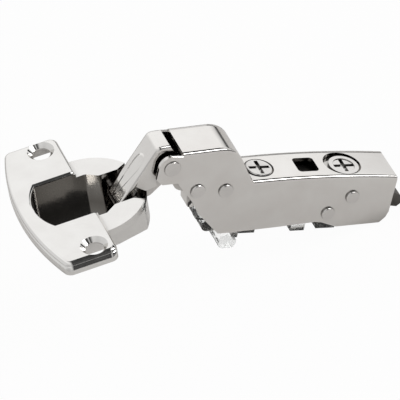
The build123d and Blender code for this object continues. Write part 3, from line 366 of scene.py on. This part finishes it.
def make_camera():
    azimuth, elevation = math.radians(CAMERA_AZIMUTH), math.radians(CAMERA_ELEVATION)
    back = Vector((
        math.sin(azimuth) * math.cos(elevation),
        -math.cos(azimuth) * math.cos(elevation),
        math.sin(elevation),
    ))
    camera = bpy.data.objects.new("camera", bpy.data.cameras.new("camera"))
    bpy.context.scene.collection.objects.link(camera)
    camera.data.lens = CAMERA_LENS
    camera.data.clip_start, camera.data.clip_end = 0.05, 20.0
    upright = back.to_track_quat("Z", "Y").to_matrix().to_4x4()
    rolled = upright @ Matrix.Rotation(math.radians(CAMERA_ROLL), 4, "Z")
    camera.matrix_world = Matrix.Translation(Vector(CAMERA_AIM) + back * CAMERA_DISTANCE) @ rolled
    bpy.context.scene.camera = camera


def make_floor(low):
    """A pale floor that the camera sees as white, with a faint shadow."""
    bpy.ops.mesh.primitive_plane_add(size=FLOOR_SIZE, location=(0, 0, low.z - FLOOR_DROP))
    floor = bpy.context.object
    floor.name = "floor"
    material, tree, shader = shader_tree("pale_floor")
    shader.inputs["Base Color"].default_value = FLOOR_COLOUR
    shader.inputs["Roughness"].default_value = FLOOR_ROUGHNESS
    glow = tree.nodes.new("ShaderNodeEmission")
    ray = tree.nodes.new("ShaderNodeLightPath")
    mix = tree.nodes.new("ShaderNodeMixShader")
    seen = math_node(tree, "MULTIPLY", ray.outputs["Is Camera Ray"], FLOOR_GLOW)
    mirrored = math_node(tree, "MULTIPLY", ray.outputs["Is Glossy Ray"], FLOOR_MIRRORED)
    through = math_node(tree, "MULTIPLY", ray.outputs["Is Transmission Ray"], FLOOR_GLOW)
    share = math_node(tree, "MAXIMUM", math_node(tree, "MAXIMUM", seen, mirrored), through)
    tree.links.new(share, mix.inputs["Fac"])
    tree.links.new(shader.outputs[0], mix.inputs[1])
    tree.links.new(glow.outputs[0], mix.inputs[2])
    tree.links.new(mix.outputs[0], tree.nodes["Material Output"].inputs["Surface"])
    floor.data.materials.append(material)


def graded(tree, share, levels):
    """A grey level for a share, from a list of (share, level)."""
    ramp = tree.nodes.new("ShaderNodeValToRGB")
    ends = ramp.color_ramp.elements
    ends[0].position, ends[1].position = levels[0][0], levels[-1][0]
    for position, _ in levels[1:-1]:
        ends.new(position)
    for element, (_, level) in zip(ends, levels):
        element.color = (level, level, level, 1)
    tree.links.new(share, ramp.inputs["Fac"])
    return ramp.outputs["Color"]


def make_world():
    """A white tent, open and dark on the camera's side, white where the camera sees it."""
    world = bpy.data.worlds.new("studio")
    bpy.context.scene.world = world
    world.use_nodes = True
    tree = world.node_tree
    background = tree.nodes["Background"]
    place = tree.nodes.new("ShaderNodeTexCoord")
    split = tree.nodes.new("ShaderNodeSeparateXYZ")
    tree.links.new(place.outputs["Generated"], split.inputs[0])
    arch = math_node(tree, "ARCTAN2", split.outputs["Z"], split.outputs["Y"])
    arch = math_node(tree, "DIVIDE", arch, math.pi)
    across = math_node(tree, "MULTIPLY_ADD", split.outputs["X"], 0.5, 0.5)
    level = graded(tree, arch, TENT_LEFT)
    for start, end, part in TENT_PARTS:
        seam = tree.nodes.new("ShaderNodeMapRange")
        seam.inputs["From Min"].default_value = start
        seam.inputs["From Max"].default_value = end
        tree.links.new(across, seam.inputs["Value"])
        blend = tree.nodes.new("ShaderNodeMix")
        blend.data_type = "RGBA"
        tree.links.new(seam.outputs["Result"], blend.inputs["Factor"])
        tree.links.new(level, blend.inputs["A"])
        tree.links.new(graded(tree, arch, part), blend.inputs["B"])
        level = blend.outputs["Result"]
    tree.links.new(level, background.inputs["Color"])
    white = tree.nodes.new("ShaderNodeBackground")
    ray = tree.nodes.new("ShaderNodeLightPath")
    mix = tree.nodes.new("ShaderNodeMixShader")
    seen = math_node(tree, "MAXIMUM", ray.outputs["Is Camera Ray"], ray.outputs["Is Transmission Ray"])
    tree.links.new(seen, mix.inputs["Fac"])
    tree.links.new(background.outputs[0], mix.inputs[1])
    tree.links.new(white.outputs[0], mix.inputs[2])
    tree.links.new(mix.outputs[0], tree.nodes["World Output"].inputs["Surface"])


def soft_light(name, place, aim, size, power):
    light = bpy.data.objects.new(name, bpy.data.lights.new(name, "AREA"))
    bpy.context.scene.collection.objects.link(light)
    light.data.size = size
    light.data.energy = power
    direction = Vector(aim) - Vector(place)
    light.location = place
    light.rotation_euler = direction.to_track_quat("-Z", "Y").to_euler()


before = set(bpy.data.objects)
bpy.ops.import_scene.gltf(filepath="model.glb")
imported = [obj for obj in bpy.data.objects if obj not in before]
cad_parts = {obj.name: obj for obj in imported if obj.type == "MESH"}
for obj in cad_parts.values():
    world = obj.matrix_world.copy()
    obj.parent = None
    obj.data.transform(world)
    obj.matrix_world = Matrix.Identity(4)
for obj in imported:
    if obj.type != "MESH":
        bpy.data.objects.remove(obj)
cad_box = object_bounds()
bpy.context.scene.view_settings.view_transform = "Standard"
finish_nodes(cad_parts)
make_camera()
make_floor(cad_box[0])
make_world()
soft_light("overhead", LAMP_PLACE, CAMERA_AIM, LAMP_SIZE, LAMP_POWER)
